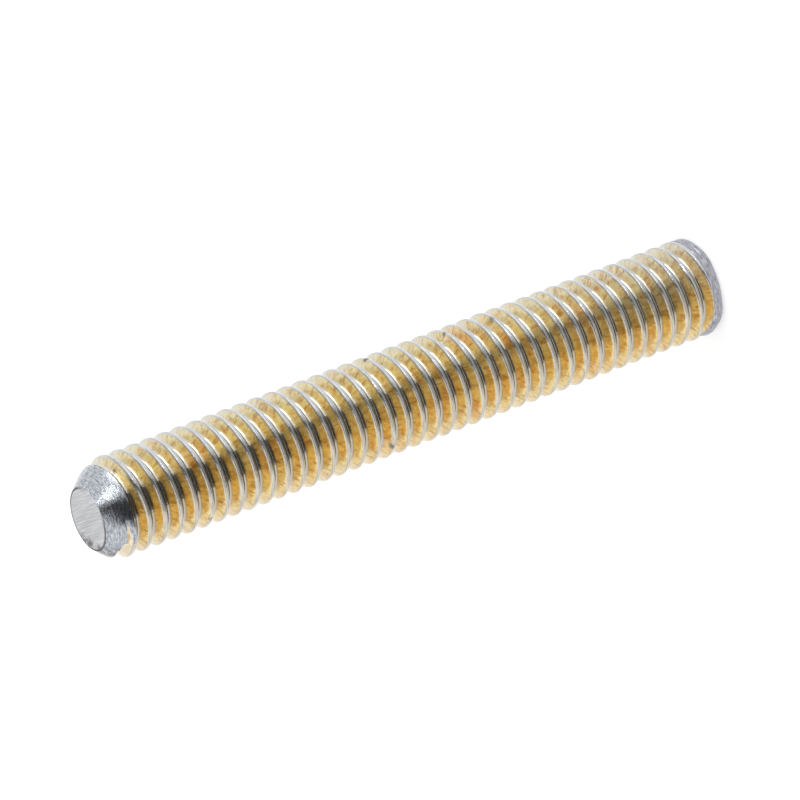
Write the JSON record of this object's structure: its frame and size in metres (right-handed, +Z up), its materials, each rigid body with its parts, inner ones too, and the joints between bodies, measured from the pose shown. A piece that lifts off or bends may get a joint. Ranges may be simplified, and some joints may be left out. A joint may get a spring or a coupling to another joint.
{
  "type": "stud bolt",
  "caption": "Headless stud cut from yellow-plated threaded rod, with a right-hand thread over its whole length, bright worn crests, one hand-ground chamfered end and one sawn end.",
  "frame": {"origin": "where the rod's axis meets the sawn end face", "axes": "+Z up the rod's axis from the sawn end to the ground end; the crest lies 0.95 mm above the sawn end on the +X side"},
  "size_m": [0.0058, 0.0058, 0.0409],
  "materials": {
    "plated_steel": "yellow zinc passivation in the grooves, worn bright along the crests, bare steel at both ends"
  },
  "bodies": {
    "root": {"stud": "plated_steel"}
  },
  "joints": []
}
